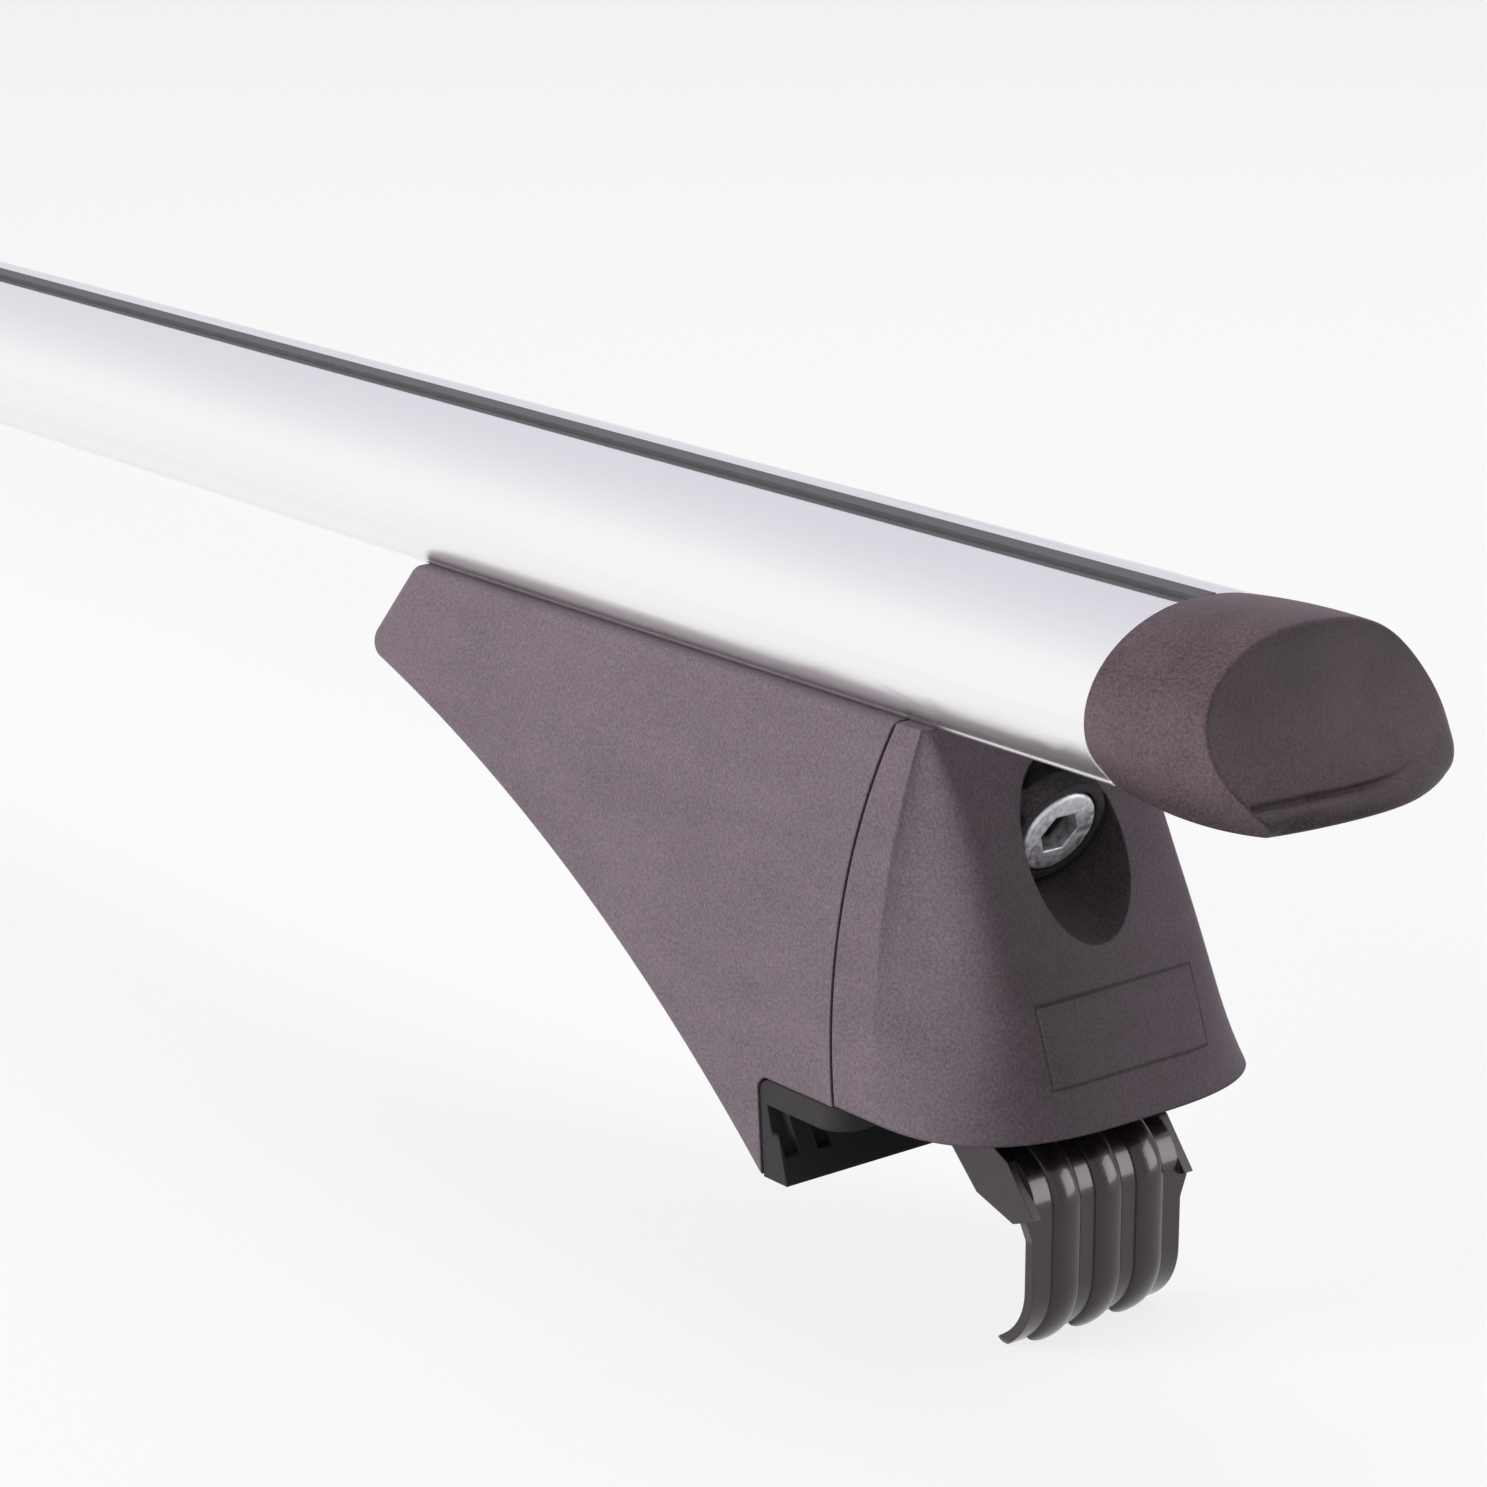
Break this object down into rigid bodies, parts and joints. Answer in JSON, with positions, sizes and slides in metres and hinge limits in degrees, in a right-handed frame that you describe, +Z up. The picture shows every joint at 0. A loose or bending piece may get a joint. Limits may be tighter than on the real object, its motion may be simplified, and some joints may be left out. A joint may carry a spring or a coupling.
{
  "type": "roof rack crossbar",
  "caption": "Wing-shaped aluminium roof rack crossbar on clamping feet: a socket bolt in each foot draws a ribbed steel hook in under the car's roof rail.",
  "frame": {"origin": "centre of the bar's length and of the feet's width, at the lowest point of the hooks", "axes": "+X along the bar, -Y towards the bar's blunt nose, +Z up"},
  "size_m": [1.1624, 0.0668, 0.1123],
  "materials": {
    "aluminium": "satin anodised",
    "rubber": "matte",
    "cap_plastic": "soft matte",
    "foot_plastic": "fine grain",
    "black_steel": "gloss black coat",
    "zinc_steel": "zinc plated"
  },
  "bodies": {
    "bar": {"crossbar": "aluminium", "slot_strip": "rubber", "right_end_cap": "cap_plastic", "left_end_cap": "cap_plastic", "right_foot_body": "foot_plastic", "left_foot_body": "foot_plastic", "right_outer_cover": "foot_plastic", "left_outer_cover": "foot_plastic", "right_rail_pad": "rubber", "left_rail_pad": "rubber", "right_support_bracket": "black_steel", "left_support_bracket": "black_steel", "right_clamp_nut": "zinc_steel", "left_clamp_nut": "zinc_steel", "right_t_bolts": "zinc_steel", "left_t_bolts": "zinc_steel", "right_t_washers": "zinc_steel", "left_t_washers": "zinc_steel", "right_t_nuts": "zinc_steel", "left_t_nuts": "zinc_steel"},
    "right_hook": {"right_clamp_hook": "black_steel"},
    "left_hook": {"left_clamp_hook": "black_steel"},
    "right_bolt": {"right_clamp_bolt": "zinc_steel", "right_clamp_washer": "zinc_steel"},
    "left_bolt": {"left_clamp_bolt": "zinc_steel", "left_clamp_washer": "zinc_steel"}
  },
  "joints": [
    {"name": "right_hook_slide", "type": "slide", "parent": "bar", "child": "right_hook", "axis": [0.9171, 0, -0.3987], "range_m": [-0.003, 0.004]},
    {"name": "right_bolt_turn", "type": "hinge", "parent": "right_hook", "child": "right_bolt", "pos_m": [0.5207, 0, 0.0715], "axis": [0.9171, 0, -0.3987], "range_deg": [-866, 1154]},
    {"name": "left_hook_slide", "type": "slide", "parent": "bar", "child": "left_hook", "axis": [-0.9171, 0, -0.3987], "range_m": [-0.003, 0.004]},
    {"name": "left_bolt_turn", "type": "hinge", "parent": "left_hook", "child": "left_bolt", "pos_m": [-0.5207, 0, 0.0715], "axis": [-0.9171, 0, -0.3987], "range_deg": [-866, 1154]}
  ],
  "couplings": [
    {"joint": "right_bolt_turn", "follows": "right_hook_slide", "rad_per_m": 5026.5},
    {"joint": "left_bolt_turn", "follows": "left_hook_slide", "rad_per_m": 5026.5}
  ]
}
